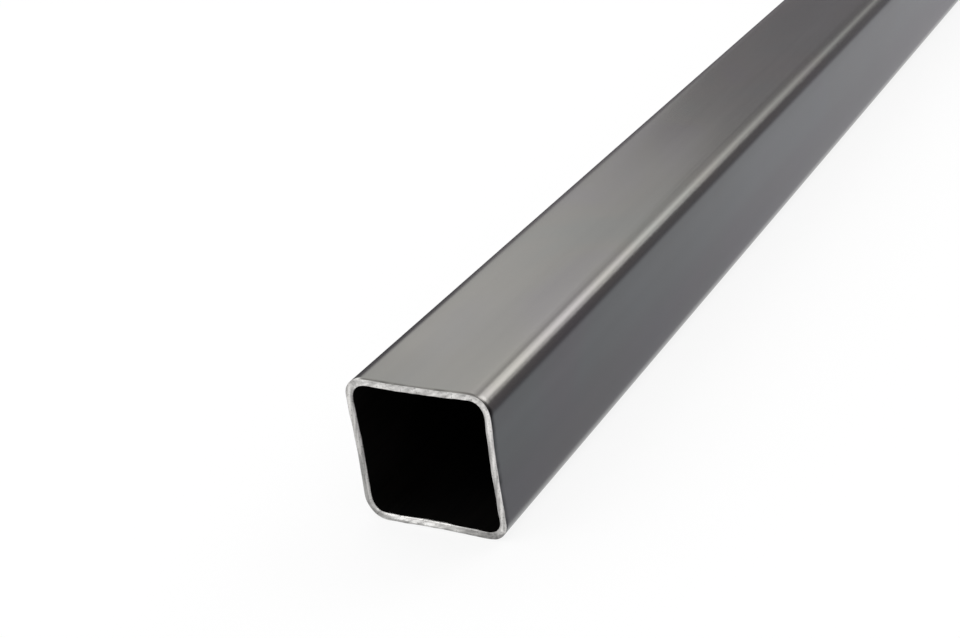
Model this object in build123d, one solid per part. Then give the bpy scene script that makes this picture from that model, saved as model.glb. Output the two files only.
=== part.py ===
from build123d import *
import os

# Cold-formed square steel tube, sawn square at both ends and lying on one of its flat sides.
# +Y runs along the tube, +Z is up, and the origin is the middle of the underside.

# Driving dimensions, in millimetres.
SIDE = 40.0  # outside, flat to flat
WALL = 2.0  # thickness of the strip that the tube is formed from
BEND_RADIUS = 3.5  # inside radius of the four formed corners
LENGTH = 1000.0  # sawn length
EDGE_BREAK = 0.3  # chamfer that deburring leaves along each sawn edge

# Sizes that follow from them.
BORE = SIDE - 2 * WALL  # inside, flat to flat
CORNER_RADIUS = BEND_RADIUS + WALL  # outside radius of the formed corners


def formed_section():
    """Cross-section of the strip bent round four corners, the same thickness all the way round."""
    outside = RectangleRounded(SIDE, SIDE, CORNER_RADIUS)
    inside = RectangleRounded(BORE, BORE, BEND_RADIUS)
    return outside - inside


def drawn_length():
    """The section run along +Y, with its underside on Z = 0."""
    front_end = Plane(origin=(0, -LENGTH / 2, SIDE / 2), x_dir=(1, 0, 0), z_dir=(0, 1, 0))
    return extrude(front_end * formed_section(), amount=LENGTH)


def sawn_edges(tube):
    """The outer and inner rim of each sawn end."""
    ends = tube.faces().sort_by(Axis.Y)
    return ends[0].edges() + ends[-1].edges()


def square_tube():
    """The finished tube, with its four sawn rims deburred."""
    tube = drawn_length()
    return chamfer(sawn_edges(tube), EDGE_BREAK)


os.makedirs("parts", exist_ok=True)
export_step(square_tube(), "parts/square_tube.step")
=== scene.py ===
import math

import bmesh
import bpy
from mathutils import Matrix, Vector, kdtree, noise


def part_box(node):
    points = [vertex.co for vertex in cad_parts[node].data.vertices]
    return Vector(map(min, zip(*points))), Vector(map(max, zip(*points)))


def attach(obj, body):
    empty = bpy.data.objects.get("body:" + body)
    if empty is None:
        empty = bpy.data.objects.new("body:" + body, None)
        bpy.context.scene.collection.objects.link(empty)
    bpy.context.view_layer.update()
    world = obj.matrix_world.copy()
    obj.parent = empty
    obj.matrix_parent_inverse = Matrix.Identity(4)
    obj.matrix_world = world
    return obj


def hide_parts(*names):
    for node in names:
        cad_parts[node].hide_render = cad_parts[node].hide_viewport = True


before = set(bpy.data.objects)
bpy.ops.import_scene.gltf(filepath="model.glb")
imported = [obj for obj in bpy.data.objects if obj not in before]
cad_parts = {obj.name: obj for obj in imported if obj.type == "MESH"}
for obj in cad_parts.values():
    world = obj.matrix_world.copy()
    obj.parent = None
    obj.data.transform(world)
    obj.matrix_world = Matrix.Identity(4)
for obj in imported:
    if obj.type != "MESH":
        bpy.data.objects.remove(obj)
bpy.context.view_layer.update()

# A length of cold-formed square steel tube, lying on the floor. +X is to its right, +Y runs along it
# from the front end to the back end, and +Z is up. Sizes and places are in metres.
NODE = "square_tube"
MM = 0.001

# Section. The side and the length come from the frame.
LOW_CORNER, HIGH_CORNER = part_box(NODE)
SIDE = HIGH_CORNER[0] - LOW_CORNER[0]
LENGTH = HIGH_CORNER[1] - LOW_CORNER[1]
WALL = 2.0 * MM
BEND_RADIUS = 3.5 * MM  # in the bore
CORNER_RADIUS = BEND_RADIUS + WALL  # outside
EDGE_BREAK = 0.3 * MM
HOLLOW = 0.25 * MM  # how far the rolls press in the middle of each flat
HALF_SIDE = SIDE / 2
HALF_FLAT = HALF_SIDE - CORNER_RADIUS
AXIS_HEIGHT = HALF_SIDE


class Value:
    """One socket of a node tree. Arithmetic on it adds Math nodes to the tree."""

    def __init__(self, finish, socket):
        self.finish = finish
        self.socket = socket

    def __add__(self, other):
        return self.finish.math("ADD", self, other)

    def __radd__(self, other):
        return self.finish.math("ADD", other, self)

    def __sub__(self, other):
        return self.finish.math("SUBTRACT", self, other)

    def __rsub__(self, other):
        return self.finish.math("SUBTRACT", other, self)

    def __mul__(self, other):
        return self.finish.math("MULTIPLY", self, other)

    def __rmul__(self, other):
        return self.finish.math("MULTIPLY", other, self)

    def __abs__(self):
        return self.finish.math("ABSOLUTE", self)


class Finish:
    """A node tree being drawn up, for a material or for the room."""

    def __init__(self, tree):
        self.tree = tree
        tree.nodes.clear()

    def node(self, kind, settings=None, sockets=None, output=0):
        """Adds a node: its settings first, then its sockets' values or links. Gives one of its outputs."""
        made = self.tree.nodes.new(kind)
        for name, setting in (settings or {}).items():
            setattr(made, name, setting)
        for name, value in (sockets or {}).items():
            if isinstance(value, Value):
                self.tree.links.new(value.socket, made.inputs[name])
            else:
                made.inputs[name].default_value = value
        return Value(self, made.outputs[output]) if made.outputs else made

    def math(self, operation, *values):
        return self.node("ShaderNodeMath", {"operation": operation}, dict(enumerate(values)))

    def larger(self, a, b):
        return self.math("MAXIMUM", a, b)

    def smaller(self, a, b):
        return self.math("MINIMUM", a, b)

    def place(self):
        """Object coordinates, in metres."""
        return self.node("ShaderNodeTexCoord", output="Object")

    def split(self, place):
        """How far a place is across, along and up."""
        outputs = self.node("ShaderNodeSeparateXYZ", sockets={0: place}).socket.node.outputs
        return [Value(self, outputs[axis]) for axis in "XYZ"]

    def turned(self, place, angle):
        """Coordinates turned about the tube's length."""
        return self.node("ShaderNodeMapping", sockets={"Vector": place, "Rotation": (0, angle, 0)})

    def cloud(self, place, lumps, detail=3.0, roughness=0.5, distortion=0.0):
        """Noise between 0 and 1, with so many lumps to the metre across, along and up."""
        scaled = self.node("ShaderNodeVectorMath", {"operation": "MULTIPLY"}, {0: place, 1: lumps})
        sockets = {"Vector": scaled, "Scale": 1.0, "Detail": detail}
        sockets.update({"Roughness": roughness, "Distortion": distortion})
        return self.node("ShaderNodeTexNoise", sockets=sockets)

    def fade(self, value, span, start=0.0, end=1.0):
        """Start before a span of the value, end after it, and a smooth step between. It may run down."""
        sockets = {"Value": value, "From Min": span[0], "From Max": span[1], "To Min": start, "To Max": end}
        return self.node("ShaderNodeMapRange", {"interpolation_type": "SMOOTHSTEP"}, sockets)

    def band(self, value, start, end):
        """1 between two spans of the value, and 0 outside them. The second span runs down."""
        return self.fade(value, start) * self.fade(value, end)

    def colours(self, share, first, second):
        """The first colour where share is 0, and the second where it is 1."""
        sockets = {0: share, 6: first, 7: second}
        return self.node("ShaderNodeMix", {"data_type": "RGBA"}, sockets, output=2)

    def shade(self, colour, level):
        """A colour made darker or lighter by a level, where 1 leaves it alone."""
        grey = self.node("ShaderNodeCombineColor", sockets={0: level, 1: level, 2: level})
        settings = {"data_type": "RGBA", "blend_type": "MULTIPLY"}
        return self.node("ShaderNodeMix", settings, {0: 1.0, 6: colour, 7: grey}, output=2)

    def bump(self, height, depth, under=None):
        """The surface's normal over a height between 0 and 1 that is depth metres deep."""
        sockets = {"Height": height, "Distance": depth, "Strength": 1.0}
        if under is not None:
            sockets["Normal"] = under
        return self.node("ShaderNodeBump", sockets=sockets)

    def seen(self):
        """1 where the eye looks, straight or by way of a reflection, and 0 for stray light."""
        path = self.node("ShaderNodeLightPath").socket.node.outputs
        kinds = ("Is Camera Ray", "Is Glossy Ray", "Is Transmission Ray")
        camera, glossy, through = (Value(self, path[kind]) for kind in kinds)
        return self.larger(self.larger(camera, glossy), through)

    def glow(self, tint, strength):
        return self.node("ShaderNodeEmission", sockets={"Color": tint, "Strength": strength})

    def mixed(self, share, first, second):
        """The first shader where share is 0, and the second where it is 1."""
        return self.node("ShaderNodeMixShader", sockets={0: share, 1: first, 2: second})

    def principled(self, sockets):
        return self.node("ShaderNodeBsdfPrincipled", sockets=sockets)

    def end_with(self, shader):
        self.node("ShaderNodeOutputMaterial", sockets={"Surface": shader})


def new_finish(name):
    material = bpy.data.materials.new(name)
    material.use_nodes = True
    return material, Finish(material.node_tree)


def colour(red, green, blue):
    return (red, green, blue, 1.0)


def sway(pattern, amount):
    """A pattern that takes away as much as it adds, so that its mean level stays."""
    return (pattern - 0.5) * amount


# --- Rolled skin ------------------------------------------------------------------------------

# Painted copies of one steel, each tinted by the light that its side mirrors.
STEEL_IN_WARM_LIGHT = colour(0.1515, 0.1465, 0.136)
STEEL_IN_COOL_LIGHT = colour(0.137, 0.141, 0.146)
STEEL_IN_BLUE_LIGHT = colour(0.138, 0.154, 0.154)
GREEN_FILM = colour(0.136, 0.143, 0.137)
PURPLE_FILM = colour(0.145, 0.137, 0.145)
BARE_STEEL = colour(0.60, 0.59, 0.57)

# Patterns, by their lumps to the metre across, along and up. Roll lines are a fraction of a millimetre
# apart and run on for a hand's breadth or more.
ROLL_LINES = (1900, 5, 1900)
BROAD_LINES = (260, 2.5, 260)
GRAIN = (5200, 2600, 5200)
OIL = (38, 14, 38)
HAZE = (120, 60, 120)
FILM = (24, 16, 24)
SMUDGES = (320, 40, 320)

# How much each pattern changes the colour's level, the roughness and the relief.
LINE_CONTRAST = 0.10
HAZE_CONTRAST = 0.06
SATIN = 0.235
LINE_SATIN = 0.06
OIL_SATIN = 0.05
GRAIN_SATIN = 0.04
LINE_DEPTH = 0.0035 * MM
GRAIN_DEPTH = 0.0010 * MM

# Tints. The cool and the blue tint are painted light: the right side is tinted cooler, and bluish high up,
# for the light it mirrors; the films are the oil's own. Each pair of places says where a tint starts and
# where it is full.
COOL_SIDE = (-22 * MM, 8 * MM)  # across, less up
COOL_SHARE = 0.8
OIL_SHARE = 0.9
BLUE_ACROSS = (14 * MM, 19 * MM)
BLUE_UP = (12 * MM, 24 * MM)
BLUE_BELOW_TOP = (3.5 * MM, 5.5 * MM)
BLUE_SHARE = 0.8
THICK_FILM = (0.45, 0.70)
THIN_FILM = (0.50, 0.30)
FILM_SHARE = 0.5

# Marks by each end. Each pair of places says where a mark starts and where it is full: from the sawn
# end, down from the top, or in from where the corner would be if the top bend were sharp.
SHARP_CORNER = 1.5 * SIDE  # its height and its distance across together
ROUND_BEND = (5 * MM, 1.5 * MM)  # down from the top
# Oil and dust on the broken edge, with painted shade that is darkest by the bends and on their shoulders.
GRIME_AND_SHADE_START = 0.35 * MM
GRIME_AND_SHADE_ENDS = (1.9 * MM, 0.65 * MM)  # on the sides, and on the top
GRIME_AND_SHADE_UP_SIDE = (12 * MM, 3 * MM)
GRIME_AND_SHADE_LEVELS = (0.72, 0.25)  # low on the sides, and by the bends
ONTO_TOP = (3 * MM, 0.5 * MM)
LIGHTER_ON_TOP = 0.47
SMUDGE_CONTRAST = 1.1
DARKEST_GRIME_AND_SHADE = 0.15
CROWN = (4.2 * MM, 3.7 * MM)
CROWN_LIGHTER_SHARE = 0.4
SHOULDER_START = (1 * MM, 2.5 * MM)
SHOULDER_END = (5 * MM, 3.5 * MM)
SHOULDER_REACH = (1.1 * MM, 0.5 * MM)
SHOULDER_SHADE = 0.55
BARED = (6.0 * MM, 4.0 * MM)
# Painted shade back along the left bend.
LEFT_BEND_SHADE_WIDTH = (5.7 * MM, 4.4 * MM)
LEFT_BEND_SHADE_START = (0.4 * MM, 0.8 * MM)
LEFT_BEND_SHADE_END = (75 * MM, 35 * MM)
LEFT_BEND_SHADE_AMOUNT = 0.6
# A darker patch on the top by each end.
DARKER_TOP_END = (24 * MM, 8 * MM)
DARKER_TOP_LEFT = (8 * MM, -10 * MM)  # across
DARKER_TOP_BELOW_TOP = (4 * MM, 2 * MM)
DARKER_TOP_SHADE = 0.09
# A painted glint on the right bend.
GLINT_WIDTH = (3.6 * MM, 3.35 * MM)
GLINT_START = (0.6 * MM, 0.8 * MM)
GLINT_END = (2.2 * MM, 1.2 * MM)
GLINT_SHARE = 0.10


def skin_colour(steel, place, oil):
    """Painted light over the steel: warm on the top and the left, cooler on the right and bluish high up
    there, for the light each side mirrors. Filmed with oil.
    """
    across, _, up = steel.split(place)
    # painted light: cooler towards the right side and lower down
    cool = steel.fade(across - up, COOL_SIDE, 0.0, COOL_SHARE) + sway(oil, OIL_SHARE)
    cool = steel.larger(0.0, steel.smaller(1.0, cool))
    base = steel.colours(cool, STEEL_IN_WARM_LIGHT, STEEL_IN_COOL_LIGHT)
    # painted light: bluish high on the right side
    upper_right = steel.fade(across, BLUE_ACROSS) * steel.fade(up, BLUE_UP)
    upper_right = upper_right * steel.fade(SIDE - up, BLUE_BELOW_TOP)
    base = steel.colours(upper_right * BLUE_SHARE, base, STEEL_IN_BLUE_LIGHT)
    film = steel.cloud(place, FILM, detail=2.0, distortion=0.6)
    base = steel.colours(steel.fade(film, THICK_FILM, 0.0, FILM_SHARE), base, GREEN_FILM)
    return steel.colours(steel.fade(film, THIN_FILM, 0.0, FILM_SHARE), base, PURPLE_FILM)


def grime_and_shade_level(steel, place, clean):
    """How bright the steel shows on the broken edge round each end: oil and fine dust, with painted shade
    that is darkest by the bends.
    """
    across, along, up = steel.split(place)
    below_top = SIDE - up
    smudges = steel.cloud(place, SMUDGES, detail=2.0)
    level = steel.fade(below_top, GRIME_AND_SHADE_UP_SIDE, *GRIME_AND_SHADE_LEVELS) + sway(smudges, SMUDGE_CONTRAST)
    level = level + steel.fade(below_top, ONTO_TOP, 0.0, LIGHTER_ON_TOP)
    level = steel.larger(DARKEST_GRIME_AND_SHADE, steel.smaller(level, 1.0))
    # The crown of each top bend is lighter, where the highlight runs, and painted shade lies on its
    # shoulder below, next to the dark band that the bend mirrors.
    level = level + steel.fade(SHARP_CORNER - (abs(across) + up), CROWN, 0.0, CROWN_LIGHTER_SHARE)
    shoulder = steel.band(below_top, SHOULDER_START, SHOULDER_END)
    shoulder = shoulder * steel.fade(LENGTH / 2 - abs(along), SHOULDER_REACH)
    return (level + (1 - level) * clean) * (1 - shoulder * SHOULDER_SHADE)


def satin_rolled_steel():
    """The outside as it leaves the forming rolls: dark satin steel with lines along its length."""
    material, steel = new_finish("satin_rolled_steel")
    place = steel.place()
    across, along, up = steel.split(place)
    below_top = SIDE - up
    from_end = LENGTH / 2 - abs(along)
    in_from_left = SHARP_CORNER - (up - across)
    in_from_right = SHARP_CORNER - (up + across)

    roll_lines = steel.cloud(place, ROLL_LINES, detail=4.0, roughness=0.6)
    broad_lines = steel.cloud(place, BROAD_LINES, detail=2.0)
    grain = steel.cloud(place, GRAIN, detail=2.0)
    oil = steel.cloud(place, OIL, distortion=0.4)
    haze = steel.cloud(place, HAZE)

    base = skin_colour(steel, place, oil)
    level = 1.0 + sway(roll_lines, LINE_CONTRAST) + sway(broad_lines, LINE_CONTRAST)
    level = level + sway(haze, HAZE_CONTRAST)
    # oil and dust on the broken edge round each end, with painted shade there
    grime_and_shade_end = steel.fade(below_top, ROUND_BEND, *GRIME_AND_SHADE_ENDS)
    clean = steel.fade(from_end, (GRIME_AND_SHADE_START, grime_and_shade_end))
    base = steel.shade(base, level * grime_and_shade_level(steel, place, clean))

    # The deburring tool bared the left bend to bright steel. Painted shade runs back along that bend from
    # the end, deepening the dark edge it mirrors.
    bared = steel.fade(in_from_left, BARED) * (1 - clean)
    base = steel.colours(bared, base, BARE_STEEL)
    left_bend_shade = steel.fade(in_from_left, LEFT_BEND_SHADE_WIDTH) * steel.band(from_end, LEFT_BEND_SHADE_START, LEFT_BEND_SHADE_END)
    base = steel.shade(base, 1 - left_bend_shade * LEFT_BEND_SHADE_AMOUNT)
    # The top is a little darker by each end, towards the left.
    darker_top_patch = steel.fade(from_end, DARKER_TOP_END) * steel.fade(across, DARKER_TOP_LEFT)
    darker_top_patch = darker_top_patch * steel.fade(below_top, DARKER_TOP_BELOW_TOP)
    base = steel.shade(base, 1 - darker_top_patch * DARKER_TOP_SHADE)
    # A painted glint on the crown of the right bend, just behind the rim.
    glint = steel.fade(in_from_right, GLINT_WIDTH) * steel.band(from_end, GLINT_START, GLINT_END)
    base = steel.colours(glint * GLINT_SHARE, base, BARE_STEEL)

    rough = SATIN + sway(roll_lines, LINE_SATIN) + sway(oil, OIL_SATIN) + sway(grain, GRAIN_SATIN)
    relief = steel.bump(roll_lines, LINE_DEPTH)
    relief = steel.bump(grain, GRAIN_DEPTH, under=relief)
    sockets = {"Base Color": base, "Metallic": 1.0, "Roughness": rough, "Normal": relief}
    steel.end_with(steel.principled(sockets))
    return material


# --- Sawn ends --------------------------------------------------------------------------------

BRIGHT_CUT = colour(0.625, 0.615, 0.60)
# The dull cut is also painted shade along the bottom's outer edge, and the burnished cut painted light
# along the bottom of the bore.
DULL_SHADED_CUT = colour(0.46, 0.455, 0.445)
BURNISHED_LIT_CUT = colour(0.92, 0.91, 0.89)

# A dressing disc follows the rim, so its marks lie nearly along each wall, a millimetre or so apart.
LEVEL_MARKS = (260, 260, 900)
LEVEL_LEAN = math.radians(22)
UPRIGHT_MARKS = (950, 300, 100)
UPRIGHT_LEAN = math.radians(-8)
MITRE = (-1.5 * MM, 1.5 * MM)  # where the marks of two walls meet
BLOTCHES = (800, 800, 800)
SPECKS = (2300, 2300, 2300)
DARK_SPECKS = (0.33, 0.41)
SPECK_LEVEL = 0.50
MARK_CONTRAST = 2.0
BLOTCH_CONTRAST = 0.5
BEND_BLOTCHES = 0.9
BEND_START = (-0.5 * MM, 1.0 * MM)  # past the end of a flat
DULLNESS = 0.40
BLOTCH_DULLNESS = 0.20
DRAG_DULLNESS = 0.10
MARK_DEPTH = 0.025 * MM
BLOTCH_DEPTH = 0.030 * MM

# Places on the cut. Each pair says where a mark starts and where it is full: in from the outer face,
# across from the middle, or up from the axis.
IN_WALL = (3.4 * MM, 1.6 * MM)  # for the bottom, left, top and right wall
DRAG_IN_BOTTOM = 0.75 * MM
DRAG_IN_LEFT = 1.3 * MM
DRAG_UP = (4 * MM, -4 * MM)
DRAG_RAGGED = 1.1 * MM
DRAG_EDGE = (0.20 * MM, -0.15 * MM)
DRAG_FULL = (0.0, 0.6 * MM)
BURR_START = (0.7 * MM, 1.0 * MM)
BURR_END = (1.8 * MM, 1.65 * MM)
BURR_LEFT = (-14.4 * MM, -12.8 * MM)
BURR_RIGHT = (3 * MM, -3 * MM)
TOP_LIP = (0.4 * MM, 1.1 * MM)
UP_LEFT_WALL = (12 * MM, 0.0)
ALONG_BOTTOM = (0.0, 11 * MM)
RIGHT_BEND_START = (12 * MM, 15 * MM)
RIGHT_BEND_END = (18 * MM, 16.5 * MM)
LEFT_BEND_UP = (-15 * MM, -17.5 * MM)
LEFT_BEND_ACROSS = (-11 * MM, -14 * MM)
GROOVE_START = (0.5 * MM, 0.8 * MM)
GROOVE_END = (1.7 * MM, 1.3 * MM)
BORE_LIP = (1.2 * MM, 1.75 * MM)


def depth_in_wall(steel, across, height):
    """How far a place on the cut is inside the section's outer face."""
    past_x = abs(across) - HALF_FLAT
    past_z = abs(height) - HALF_FLAT
    corner_x = steel.larger(past_x, 0.0)
    corner_z = steel.larger(past_z, 0.0)
    round_corner = steel.math("SQRT", corner_x * corner_x + corner_z * corner_z)
    inside_flat = steel.smaller(steel.larger(past_x, past_z), 0.0)
    return CORNER_RADIUS - (round_corner + inside_flat)


def sawn_steel():
    """The cut ends: bright steel with a dressing disc's marks, duller where the blade left the cut. Along
    the bottom wall the dull outer half is also painted shade, and the bright inner band painted light.
    """
    material, steel = new_finish("sawn_steel")
    place = steel.place()
    across, _, up = steel.split(place)
    height = up - AXIS_HEIGHT
    depth = depth_in_wall(steel, across, height)

    marks_level = steel.cloud(steel.turned(place, LEVEL_LEAN), LEVEL_MARKS, detail=2.0)
    marks_upright = steel.cloud(steel.turned(place, UPRIGHT_LEAN), UPRIGHT_MARKS, detail=2.0)
    on_side_wall = steel.fade(abs(across) - abs(height), MITRE)
    marks = marks_level + (marks_upright - marks_level) * on_side_wall
    blotches = steel.cloud(place, BLOTCHES, detail=4.0, roughness=0.65)
    specks = steel.fade(steel.cloud(place, SPECKS, detail=2.0), DARK_SPECKS, SPECK_LEVEL, 1.0)
    in_bend = steel.fade(steel.smaller(abs(across), abs(height)) - HALF_FLAT, BEND_START)
    level = 1.0 + sway(marks, MARK_CONTRAST) + sway(blotches, BLOTCH_CONTRAST + in_bend * BEND_BLOTCHES)

    at_bottom = steel.fade(HALF_SIDE + height, IN_WALL)
    at_left = steel.fade(HALF_SIDE + across, IN_WALL)
    at_top = steel.fade(HALF_SIDE - height, IN_WALL)
    at_right = steel.fade(HALF_SIDE - across, IN_WALL)

    # The blade left the cut low on the left, dragging the outer half of the wall; along the bottom that
    # dull outer half is also painted shade, for the shadowed floor it mirrors. Its burr was dressed off
    # brightest along the bottom of the bore, from the left to the middle, and that band is also painted
    # light, lifting the same shadowed floor.
    left_drag = at_left * steel.fade(height, DRAG_UP)
    reach = steel.larger(at_bottom * DRAG_IN_BOTTOM, left_drag * DRAG_IN_LEFT)
    ragged = depth + sway(blotches, DRAG_RAGGED)
    dragged_and_shaded = steel.smaller(steel.fade(ragged - reach, DRAG_EDGE), steel.fade(reach, DRAG_FULL))
    dressed_and_lit = at_bottom * steel.fade(ragged, BURR_START) * steel.fade(depth, BURR_END)
    dressed_and_lit = dressed_and_lit * steel.band(across, BURR_LEFT, BURR_RIGHT)

    # The cut is darker in patches, by so much each.
    left_bend = steel.fade(height, LEFT_BEND_UP) * steel.fade(across, LEFT_BEND_ACROSS)
    groove = steel.band(depth, GROOVE_START, GROOVE_END)
    bore_lip = steel.fade(depth, BORE_LIP)
    outer_lip_along_top = at_top * steel.fade(ragged, TOP_LIP, 0.18, 0.05)
    left_wall_and_more_below = at_left * steel.fade(height, UP_LEFT_WALL, 0.10, 0.26)
    bottom_wall_to_the_right = at_bottom * steel.fade(across, ALONG_BOTTOM, 0.05, 0.44)
    spot_at_lower_right_bend = at_bottom * steel.band(across, RIGHT_BEND_START, RIGHT_BEND_END) * 0.58
    groove_round_lower_left_bend = left_bend * (0.14 + groove * 0.34)
    bore_lip_on_the_right = at_right * bore_lip * 0.36
    bore_lip_on_the_left = at_left * bore_lip * 0.46
    darker = outer_lip_along_top
    for patch in (
        left_wall_and_more_below,
        bottom_wall_to_the_right,
        spot_at_lower_right_bend,
        groove_round_lower_left_bend,
        bore_lip_on_the_right,
        bore_lip_on_the_left,
    ):
        darker = steel.larger(darker, patch)

    # dull steel, and painted shade along the outer half of the bottom wall
    base = steel.colours(dragged_and_shaded, BRIGHT_CUT, DULL_SHADED_CUT)
    # dressed steel, and painted light along the bottom of the bore
    base = steel.colours(dressed_and_lit, base, BURNISHED_LIT_CUT)
    base = steel.shade(base, level * specks * (1 - darker))
    rough = DULLNESS + sway(blotches, BLOTCH_DULLNESS) + dragged_and_shaded * DRAG_DULLNESS
    relief = steel.bump(marks, MARK_DEPTH)
    relief = steel.bump(blotches, BLOTCH_DEPTH, under=relief)
    sockets = {"Base Color": base, "Metallic": 1.0, "Roughness": rough, "Normal": relief}
    steel.end_with(steel.principled(sockets))
    return material


# --- Bore -------------------------------------------------------------------------------------

# Near black: mill scale, with painted shade for the depth of the bore.
BLACK_SCALE_AND_SHADE = colour(0.0015, 0.0015, 0.0015)
BROWN_OIL = colour(0.005, 0.0045, 0.004)
MANDREL_LINES = (900, 6, 900)
OIL_PATCHES = (70, 30, 70)
LINE_WEIGHT = 0.4
OILED = (0.35, 0.70)
SCALE_ROUGHNESS = 0.85
PATCH_ROUGHNESS = 0.2
SCALE_SHEEN = 0.02
MANDREL_DEPTH = 0.006 * MM


def dark_bore():
    """The inside: black mill scale under a film of oil, painted near black as the bore's deep shade, with
    lines from the mandrel.
    """
    material, steel = new_finish("dark_bore")
    place = steel.place()
    lines = steel.cloud(place, MANDREL_LINES)
    patches = steel.cloud(place, OIL_PATCHES)
    oiled = steel.fade(lines * LINE_WEIGHT + patches * (1 - LINE_WEIGHT), OILED)
    sockets = {
        "Base Color": steel.colours(oiled, BLACK_SCALE_AND_SHADE, BROWN_OIL),
        "Metallic": 0.0,
        "Roughness": SCALE_ROUGHNESS + sway(patches, PATCH_ROUGHNESS),
        "Specular IOR Level": SCALE_SHEEN,
        "Normal": steel.bump(lines, MANDREL_DEPTH),
    }
    steel.end_with(steel.principled(sockets))
    return material


# --- The tube ---------------------------------------------------------------------------------

# How much wider some bends came out than the others, outside and in the bore. Each is found by whether
# it lies on the right, and whether it is at the top.
UPPER_LEFT = (False, True)
LOWER_LEFT = (False, False)
WIDER_BENDS = {UPPER_LEFT: (0.0, 0.4 * MM), LOWER_LEFT: (0.6 * MM, 0.45 * MM)}
AS_DRAWN = (0.0, 0.0)

# How finely the shapes are drawn.
CORNER_STEPS = 16
FLAT_STEPS = 60
EASING_PASSES = 2
EASING_SHARE = 0.5
RIM_STEPS = 3
END_CUTS = (1.1 * MM, 12.0 * MM)  # behind each sawn end, so that the long faces shade flat up to it
CUT_TOLERANCE = 1e-7
SHARP = math.radians(60)  # a crease past this is a sawn rim

# Hand deburring takes more off a rim in some places than in others. The amounts are multiples of
# EDGE_BREAK. Each pair of places says where more or less starts to come off, and where it is full.
UNEVEN = 0.9
LUMP_SIZE = 3.5 * MM  # from one uneven place to the next
MORE_ON_TOP = 0.7  # outer rim, along the top
TOP_RIM = (0.46 * SIDE, 0.5 * SIDE)
LESS_AT_BENDS = 0.7  # outer rim, round the upper left and the lower right bend
RIM_BENDS = (0.875 * SIDE, 0.91 * SIDE)  # height and distance across, one less the other
MORE_IN_BORE = 0.5  # bore's rim, low and towards the left
LOW_IN_BORE = (0.40 * SIDE, 0.45 * SIDE)
RIGHT_IN_BORE = (-0.15 * SIDE, 0.35 * SIDE)  # across, where it ends
RIM_REACH = 1.5 * EDGE_BREAK  # the broken edge lies nearer than this to the sharp one

# The three finishes of the tube's mesh, and how far a face turns to the end before it takes another one.
SKIN, BORE, SAWN = range(3)
SAWN_SLOPE = math.cos(math.radians(20))
BORE_SLOPE = math.sin(math.radians(8))
FLAT_SLOPE = 0.999  # past this a face is part of the plain cut, and shades flat

# The tube's flat map. Skin and bore lie lengthways with their ends drawn out, where the fine marks are,
# and each sawn ring lies unrolled across the whole width. Each part has a band of the height. The stops
# along the map give a distance behind the rim, and the share of the width that it comes to.
MAP_NAME = "OFBake"
MAP_WIDTH = (0.01, 0.99)
MAP_SKIN = (0.01, 0.80)
MAP_BORE = (0.82, 0.87)
MAP_FRONT_RING = (0.885, 0.935)
MAP_BACK_RING = (0.945, 0.995)
MAP_ROOM = 1.0 * MM  # left for the broken edge, before the long faces begin
MAP_RING_DEPTH = WALL + 1.5 * MM
MAP_LENGTHWAYS = ((-MAP_ROOM, 0.0), (END_CUTS[0], 0.03), (END_CUTS[1], 0.09), (LENGTH / 2, 0.5))


def hollow_flat(vert):
    """Moves a point of the section's outline in, most at the middle of a flat and nothing at its bends."""
    for across, along in ((0, 1), (1, 0)):
        share = vert.co[along] / HALF_FLAT
        if abs(share) < 1:
            vert.co[across] -= math.copysign(HOLLOW * (1 - share * share) ** 2, vert.co[across])


def ring_of_wall(tube):
    """Draws the section flat: a square with bent corners, and its wall left by an inset."""
    bmesh.ops.create_grid(tube, x_segments=1, y_segments=1, size=HALF_SIDE)
    bmesh.ops.bevel(
        tube,
        geom=tube.verts[:],
        offset=CORNER_RADIUS,
        offset_type="OFFSET",
        segments=CORNER_STEPS,
        profile=0.5,
        affect="VERTICES",
        material=-1,
    )
    flats = [edge for edge in tube.edges if edge.calc_length() > HALF_SIDE]
    bmesh.ops.subdivide_edges(tube, edges=flats, cuts=FLAT_STEPS - 1)
    # Rolls bend the strip gradually, so each bend runs out softly into its flats.
    for _ in range(EASING_PASSES):
        bmesh.ops.smooth_vert(
            tube,
            verts=tube.verts[:],
            factor=EASING_SHARE,
            use_axis_x=True,
            use_axis_y=True,
            use_axis_z=False,
        )
    for vert in tube.verts:
        hollow_flat(vert)
    middle = tube.faces[:][0]
    bmesh.ops.inset_region(
        tube, faces=[middle], thickness=WALL, use_even_offset=True, use_boundary=True
    )
    bmesh.ops.delete(tube, geom=[middle], context="FACES")


def draw_to_length(tube):
    """Stands the ring up at the front end and draws it out to the back end."""
    upright = Matrix.Rotation(math.pi / 2, 3, "X")
    bmesh.ops.rotate(tube, verts=tube.verts[:], cent=(0, 0, 0), matrix=upright)
    bmesh.ops.translate(tube, verts=tube.verts[:], vec=(0, -LENGTH / 2, AXIS_HEIGHT))
    drawn = bmesh.ops.extrude_face_region(tube, geom=tube.faces[:])
    far_end = [part for part in drawn["geom"] if isinstance(part, bmesh.types.BMVert)]
    bmesh.ops.translate(tube, verts=far_end, vec=(0, LENGTH, 0))
    bmesh.ops.recalc_face_normals(tube, faces=tube.faces[:])


def into_wall(place):
    """How far a place is inside the section's outer face."""
    across = abs(place.x) - HALF_FLAT
    height = abs(place.z - AXIS_HEIGHT) - HALF_FLAT
    return CORNER_RADIUS - math.hypot(max(across, 0), max(height, 0)) - min(max(across, height), 0)


def bend_share(along, other, radius):
    """How far a point moves in along one axis, for each unit by which its bend is wider."""
    past_flat = abs(along) - HALF_FLAT
    share = 1 - past_flat / radius if past_flat > 0 else abs(along) / HALF_FLAT
    return max(share, 0) * min(abs(other) / HALF_FLAT, 1)


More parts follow.
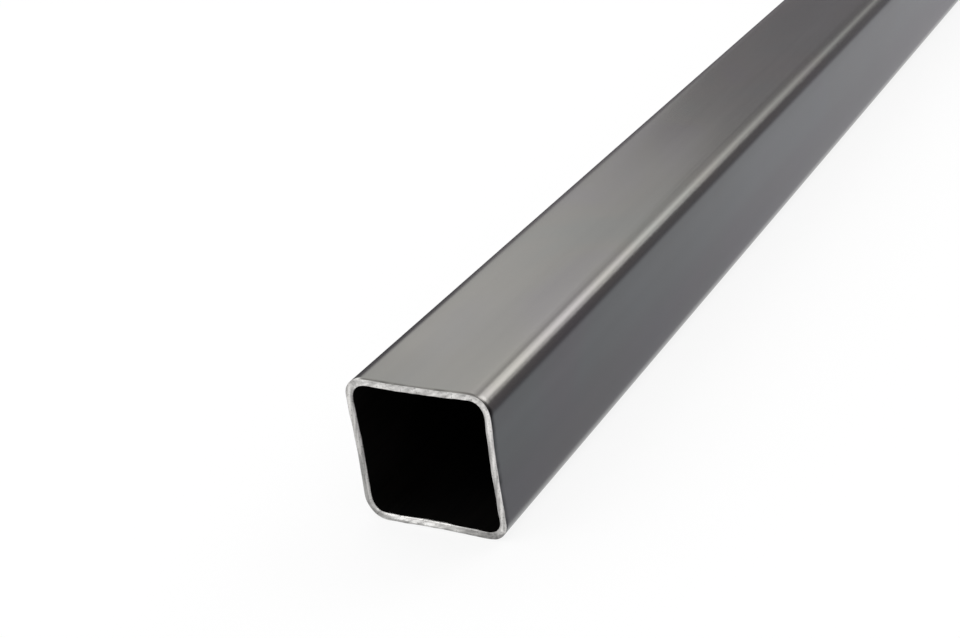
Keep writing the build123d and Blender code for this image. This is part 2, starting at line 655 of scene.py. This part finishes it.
def widen_bends(tube):
    """Moves each point to where it would lie if its bend had been drawn wider."""
    for vert in tube.verts:
        across = vert.co.x
        height = vert.co.z - AXIS_HEIGHT
        in_bore = into_wall(vert.co) > WALL / 2
        wider = WIDER_BENDS.get((across > 0, height > 0), AS_DRAWN)[in_bore]
        radius = BEND_RADIUS if in_bore else CORNER_RADIUS
        vert.co.x -= math.copysign(wider * bend_share(across, height, radius), across)
        vert.co.z -= math.copysign(wider * bend_share(height, across, radius), height)


def ring_each_end(tube):
    """Cuts the walls just behind each sawn end."""
    for end in (-1, 1):
        for depth in END_CUTS:
            bmesh.ops.bisect_plane(
                tube,
                geom=tube.verts[:] + tube.edges[:] + tube.faces[:],
                dist=CUT_TOLERANCE,
                plane_co=(0, end * (LENGTH / 2 - depth), 0),
                plane_no=(0, 1, 0),
            )


def eased(value, span):
    """0 before a span of the value, 1 after it, and a smooth step between."""
    low, high = span
    share = min(max((value - low) / (high - low), 0), 1)
    return share * share * (3 - 2 * share)


def deburring(place):
    """How much is taken off a rim at one place, as a multiple of EDGE_BREAK."""
    height = place.z - AXIS_HEIGHT
    if into_wall(place) > WALL / 2:
        more = MORE_IN_BORE * eased(-height, LOW_IN_BORE) * (1 - eased(place.x, RIGHT_IN_BORE))
    else:
        more = MORE_ON_TOP * eased(height, TOP_RIM)
        more -= LESS_AT_BENDS * eased(abs(height - place.x), RIM_BENDS)
    lump = noise.noise(place / LUMP_SIZE)
    return (1 + UNEVEN * lump) * (1 + more)


def break_rims(tube):
    """Breaks the four sawn rims, by a little more or less from place to place."""
    tube.normal_update()
    tube.verts.index_update()
    rims = [edge for edge in tube.edges if edge.calc_face_angle() > SHARP]
    sharp = {vert.index: vert.co.copy() for edge in rims for vert in edge.verts}
    nearest = kdtree.KDTree(len(sharp))
    for index, place in sharp.items():
        nearest.insert(place, index)
    nearest.balance()
    bmesh.ops.bevel(
        tube,
        geom=rims,
        offset=EDGE_BREAK,
        offset_type="OFFSET",
        segments=RIM_STEPS,
        profile=0.5,
        affect="EDGES",
        material=-1,
    )
    for vert in tube.verts:
        corner, _, distance = nearest.find(vert.co)
        if distance < RIM_REACH:
            vert.co = corner + (vert.co - corner) * deburring(corner)


def sort_faces(tube):
    """Gives each face its finish: outside, bore, or sawn end with the broken edge of its bore."""
    tube.normal_update()
    for face in tube.faces:
        middle = face.calc_center_median()
        faces_in = face.normal.x * middle.x + face.normal.z * (middle.z - AXIS_HEIGHT) < 0
        slope = abs(face.normal.y)
        if slope > SAWN_SLOPE or (faces_in and slope > BORE_SLOPE):
            face.material_index = SAWN
        elif faces_in:
            face.material_index = BORE
        else:
            face.material_index = SKIN
        face.smooth = slope < FLAT_SLOPE


def round_section(place):
    """How many sides a place is from the middle of the underside, going round to the right."""
    across = place.x
    height = place.z - AXIS_HEIGHT
    if across >= abs(height):
        return 1 + height / across / 2
    if height >= abs(across):
        return 2 - across / height / 2
    if -across >= abs(height):
        return 3 + height / across / 2
    return (-across / height / 2) % 4


def lengthways(place, behind_rim):
    """Where a place lies along the map, between 0 at the front end and 1 at the back."""
    for (low, start), (high, end) in zip(MAP_LENGTHWAYS, MAP_LENGTHWAYS[1:]):
        if behind_rim <= high:
            break
    share = start + (end - start) * (behind_rim - low) / (high - low)
    return share if place.y < 0 else 1 - share


def between(band, share):
    """The place at a share of the way through a band."""
    return band[0] + (band[1] - band[0]) * share


def lay_flat(tube):
    """Gives the tube its flat map."""
    flat_map = tube.loops.layers.uv.new(MAP_NAME)
    for face in tube.faces:
        middle = face.calc_center_median()
        side = round_section(middle)
        for loop in face.loops:
            place = loop.vert.co
            turns = round_section(place)
            turns -= 4 * round((turns - side) / 4)  # a face beside the join stays on its own side of it
            from_end = LENGTH / 2 - abs(place.y)
            if face.material_index == SAWN:
                ring = MAP_FRONT_RING if middle.y < 0 else MAP_BACK_RING
                depth = (into_wall(place) + from_end) / MAP_RING_DEPTH
                loop[flat_map].uv = (between(MAP_WIDTH, turns / 4), between(ring, depth))
            elif face.material_index == BORE:
                along = lengthways(place, from_end)
                loop[flat_map].uv = (between(MAP_WIDTH, along), between(MAP_BORE, turns / 4))
            else:
                along = lengthways(place, from_end - into_wall(place))
                loop[flat_map].uv = (between(MAP_WIDTH, along), between(MAP_SKIN, turns / 4))


def add_to_scene(name, shape, finishes):
    """Turns a finished shape into an object whose place is in its mesh."""
    mesh = bpy.data.meshes.new(name)
    shape.to_mesh(mesh)
    shape.free()
    for finish in finishes:
        mesh.materials.append(finish)
    made = bpy.data.objects.new(name, mesh)
    bpy.context.scene.collection.objects.link(made)
    return made


def square_tube():
    """The one piece, which stands for the frame's one node."""
    tube = bmesh.new()
    ring_of_wall(tube)
    draw_to_length(tube)
    widen_bends(tube)
    ring_each_end(tube)
    break_rims(tube)
    sort_faces(tube)
    lay_flat(tube)
    piece = add_to_scene("steel_tube", tube, (satin_rolled_steel(), dark_bore(), sawn_steel()))
    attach(piece, "root")
    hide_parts(NODE)


# --- The room ---------------------------------------------------------------------------------

# Light levels. A strength of 1 is white.
WHITE = 1.0
WHITE_LIGHT = colour(1, 1, 1)
ROOM_DIFFUSE = 0.64
FLOOR_SIZE = 60
FLOOR_PAINT = colour(0.95, 0.95, 0.95)
FLOOR_GLOW = 0.86

# Dark cards that only reflections see. The steel mirrors them as a dark band along each corner. Two
# lie beside the tube, grey near it and darker further off, and the others stand round the back.
DARK_TINT = colour(1.0, 0.94, 1.03)
PALE_TINT = colour(1, 0.985, 1.02)
CARD_LEVEL = 0.30
CARD_DISTANCE = 5.0  # from the middle of the tube to where the cards end
CARD_GAP = HALF_SIDE + 2 * MM  # to where those beside it begin
CARD_HEIGHT = 0.5 * MM  # over the floor
CARDS_BESIDE = (
    # name, side, level of its dark part, how far it comes forward
    ("card_right", 1, CARD_LEVEL, 0.90),
    ("card_left", -1, 0.13, 0.49),
)
PALE_BESIDE = (78 * MM, 62 * MM)  # across
PALE_ALONG = (-0.47, -0.22)  # along
PALE_SHARES = (0.46, 0.62)
CARDS_BEHIND = (
    # name, width, height, middle, distance
    ("card_back", 3.3, 2.55, -0.70, CARD_DISTANCE),
    ("card_back_tall", 2.1, 3.05, -0.55, CARD_DISTANCE - 0.1),
)
HORIZON_STEPS = 72
HORIZON_TURN = math.radians(70)
HORIZON_TOP = math.radians(17)

LAMPS = (
    # name, azimuth, elevation and width in degrees, strength
    ("strip_over_corner", 29.8, 39.1, 30, 0.50),
    ("strip_middle", 26.7, 28.9, 17, 0.085),
    ("strip_low", 31.6, 11.1, 16.7, 0.207),
    ("strip_behind", -16, 43.6, 18.5, 0.049),
    ("broad_overhead", -30, 65, 80, 0.50),
    ("broad_back_left", -52, 40, 52, 0.30),
    ("front_left", -140, 46, 40, 0.55),
)

# Camera. It rolls about its line of sight, tilts up from looking straight down, and turns to its heading.
CAMERA_PLACE = (0.1920, -0.7744, 0.2134)
HEADING = math.radians(31.94)
TILT = math.radians(64.60)
ROLL = math.radians(-8.40)
LENS = 60.55
SENSOR = 36.0
CLIPPING = (0.01, 200)


def pale_floor():
    """A white floor, which shows the tube's shadow lightly."""
    material, floor = new_finish("pale_floor")
    paint = floor.node("ShaderNodeBsdfDiffuse", sockets={"Color": FLOOR_PAINT})
    floor.end_with(floor.mixed(floor.seen() * FLOOR_GLOW, paint, floor.glow(WHITE_LIGHT, WHITE)))
    return material


def dark_card():
    """One even dark grey."""
    material, card = new_finish("dark_card")
    card.end_with(card.glow(DARK_TINT, CARD_LEVEL))
    return material


def graded_card(name, level):
    """Grey beside the tube, a little lighter towards the back, and dark further off."""
    material, card = new_finish(name)
    across, along, _ = card.split(card.place())
    pale = card.fade(abs(across), PALE_BESIDE) * card.fade(along, PALE_ALONG, *PALE_SHARES)
    card.end_with(card.mixed(pale, card.glow(DARK_TINT, level), card.glow(PALE_TINT, WHITE)))
    return material


def sheet(name, width, depth, turn, place, material):
    """A flat rectangle for the floor or a card."""
    panel = bmesh.new()
    bmesh.ops.create_grid(panel, x_segments=1, y_segments=1, size=0.5)
    bmesh.ops.scale(panel, verts=panel.verts[:], vec=(width, depth, 1))
    bmesh.ops.rotate(panel, verts=panel.verts[:], cent=(0, 0, 0), matrix=turn)
    bmesh.ops.translate(panel, verts=panel.verts[:], vec=place)
    made = add_to_scene(name, panel, (material,))
    return made


def horizon_card(material):
    """A low wall round the back of the room."""
    wall = bmesh.new()
    bmesh.ops.create_circle(wall, cap_ends=False, segments=HORIZON_STEPS, radius=CARD_DISTANCE)
    front = [vert for vert in wall.verts if vert.co.y < CARD_DISTANCE * math.cos(HORIZON_TURN)]
    bmesh.ops.delete(wall, geom=front, context="VERTS")
    raised = bmesh.ops.extrude_edge_only(wall, edges=wall.edges[:])
    top = [part for part in raised["geom"] if isinstance(part, bmesh.types.BMVert)]
    bmesh.ops.translate(wall, verts=top, vec=(0, 0, CARD_DISTANCE * math.tan(HORIZON_TOP)))
    made = add_to_scene("card_horizon", wall, (material,))
    return made


def stand_cards():
    card = dark_card()
    made = [horizon_card(card)]
    upright = Matrix.Rotation(math.pi / 2, 3, "X")
    for name, width, height, middle, distance in CARDS_BEHIND:
        made.append(sheet(name, width, height, upright, (middle, distance, height / 2), card))
    level = Matrix.Identity(3)
    width = CARD_DISTANCE - CARD_GAP
    middle = (CARD_DISTANCE + CARD_GAP) / 2
    for name, side, darkness, front in CARDS_BESIDE:
        place = (side * middle, (CARD_DISTANCE - front) / 2, CARD_HEIGHT)
        material = graded_card(name, darkness)
        made.append(sheet(name, width, CARD_DISTANCE + front, level, place, material))
    for piece in made:
        piece.visible_camera = False
        piece.visible_diffuse = False
        piece.visible_shadow = False
        piece.visible_transmission = False


def from_direction(azimuth, elevation):
    """The direction towards a lamp. The azimuth turns from +Y towards +X."""
    azimuth = math.radians(azimuth)
    elevation = math.radians(elevation)
    level = math.cos(elevation)
    return Vector((level * math.sin(azimuth), level * math.cos(azimuth), math.sin(elevation)))


def hang_lamps():
    """Large soft lamps, far enough off to light the whole length alike."""
    for name, azimuth, elevation, width, strength in LAMPS:
        data = bpy.data.lights.new(name, "SUN")
        data.energy = strength
        data.angle = math.radians(width)
        lamp = bpy.data.objects.new(name, data)
        lamp.rotation_mode = "QUATERNION"
        lamp.rotation_quaternion = from_direction(azimuth, elevation).to_track_quat("Z", "Y")
        bpy.context.scene.collection.objects.link(lamp)


def fill_room():
    """White to the eye and in reflections, and a softer fill on matt surfaces."""
    world = bpy.data.worlds.new("pale_room")
    world.use_nodes = True
    room = Finish(world.node_tree)
    strength = ROOM_DIFFUSE + room.seen() * (WHITE - ROOM_DIFFUSE)
    glow = room.node("ShaderNodeBackground", sockets={"Color": WHITE_LIGHT, "Strength": strength})
    room.node("ShaderNodeOutputWorld", sockets={"Surface": glow})
    bpy.context.scene.world = world


def set_camera():
    data = bpy.data.cameras.new("camera")
    data.lens = LENS
    data.sensor_width = SENSOR
    data.sensor_fit = "HORIZONTAL"
    data.clip_start, data.clip_end = CLIPPING
    camera = bpy.data.objects.new("camera", data)
    turn = Matrix.Rotation(HEADING, 4, "Z") @ Matrix.Rotation(TILT, 4, "X") @ Matrix.Rotation(ROLL, 4, "Z")
    camera.matrix_world = Matrix.Translation(CAMERA_PLACE) @ turn
    bpy.context.scene.collection.objects.link(camera)
    bpy.context.scene.camera = camera


square_tube()
sheet("studio_floor", FLOOR_SIZE, FLOOR_SIZE, Matrix.Identity(3), (0, 0, 0), pale_floor())
stand_cards()
hang_lamps()
fill_room()
set_camera()
bpy.context.scene.view_settings.view_transform = "Standard"
